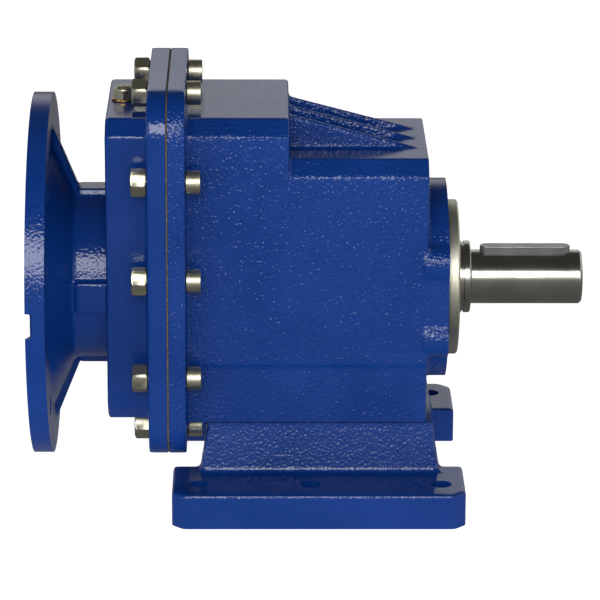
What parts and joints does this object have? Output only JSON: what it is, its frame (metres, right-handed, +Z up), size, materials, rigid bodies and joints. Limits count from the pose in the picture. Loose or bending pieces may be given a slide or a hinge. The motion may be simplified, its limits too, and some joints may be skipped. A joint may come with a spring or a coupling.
{
  "type": "inline gear reducer",
  "caption": "Inline helical gear reducer with split square casing, round motor flange, bolt-on foot and keyed solid output shaft.",
  "frame": {"origin": "centre of the overall box at its base, on the plane the foot stands on", "axes": "+X along the shafts towards the output shaft's end, +Z up from the foot, +Y across the unit"},
  "size_m": [0.3032, 0.2, 0.2327],
  "materials": {
    "blue_paint": "gloss blue enamel over cast iron",
    "machined_steel": "ground",
    "zinc_steel": "zinc plated",
    "gear_steel": "case hardened, oiled",
    "bearing_steel": "polished",
    "seal_rubber": "matt",
    "gasket_paper": "oiled paper",
    "brass": "plain"
  },
  "bodies": {
    "casing": {"housing": "blue_paint", "input_cover": "blue_paint", "cover_gasket": "gasket_paper", "input_flange": "blue_paint", "foot_base": "blue_paint", "input_seal": "seal_rubber", "output_seal": "seal_rubber", "breather_plug": "zinc_steel", "breather_washer": "brass", "cover_screw_01": "zinc_steel", "cover_nut_01": "zinc_steel", "cover_screw_02": "zinc_steel", "cover_nut_02": "zinc_steel", "cover_screw_03": "zinc_steel", "cover_nut_03": "zinc_steel", "cover_screw_04": "zinc_steel", "cover_nut_04": "zinc_steel", "cover_screw_05": "zinc_steel", "cover_nut_05": "zinc_steel", "cover_screw_06": "zinc_steel", "cover_nut_06": "zinc_steel", "cover_screw_07": "zinc_steel", "cover_nut_07": "zinc_steel", "cover_screw_08": "zinc_steel", "cover_nut_08": "zinc_steel", "cover_screw_09": "zinc_steel", "cover_nut_09": "zinc_steel", "cover_screw_10": "zinc_steel", "cover_nut_10": "zinc_steel", "flange_screw_1": "zinc_steel", "foot_screw_1": "zinc_steel", "flange_screw_2": "zinc_steel", "foot_screw_2": "zinc_steel", "flange_screw_3": "zinc_steel", "foot_screw_3": "zinc_steel", "flange_screw_4": "zinc_steel", "foot_screw_4": "zinc_steel", "input_bearing_outer_ring": "bearing_steel", "input_bearing_balls": "bearing_steel", "layshaft_rear_bearing_outer_ring": "bearing_steel", "layshaft_rear_bearing_balls": "bearing_steel", "layshaft_front_bearing_outer_ring": "bearing_steel", "layshaft_front_bearing_balls": "bearing_steel", "output_inner_bearing_outer_ring": "bearing_steel", "output_inner_bearing_balls": "bearing_steel", "output_outer_bearing_outer_ring": "bearing_steel", "output_outer_bearing_balls": "bearing_steel"},
    "output": {"output_shaft": "machined_steel", "output_key": "gear_steel", "output_gear": "gear_steel", "gear_circlip": "gear_steel", "output_inner_bearing_inner_ring": "bearing_steel", "output_outer_bearing_inner_ring": "bearing_steel"},
    "layshaft": {"layshaft": "gear_steel", "stage1_gear": "gear_steel", "layshaft_rear_bearing_inner_ring": "bearing_steel", "layshaft_front_bearing_inner_ring": "bearing_steel"},
    "input": {"input_shaft": "gear_steel", "input_bearing_inner_ring": "bearing_steel"}
  },
  "joints": [
    {"name": "output_spin", "type": "hinge", "parent": "casing", "child": "output", "pos_m": [0, 0, 0.114], "axis": [1, 0, 0], "continuous": true},
    {"name": "layshaft_spin", "type": "hinge", "parent": "casing", "child": "layshaft", "pos_m": [0, 0, 0.164], "axis": [1, 0, 0], "continuous": true},
    {"name": "input_spin", "type": "hinge", "parent": "casing", "child": "input", "pos_m": [0, 0, 0.1165], "axis": [1, 0, 0], "continuous": true}
  ],
  "couplings": [
    {"joint": "layshaft_spin", "follows": "output_spin", "ratio": -3.2},
    {"joint": "input_spin", "follows": "output_spin", "ratio": 12.8}
  ]
}
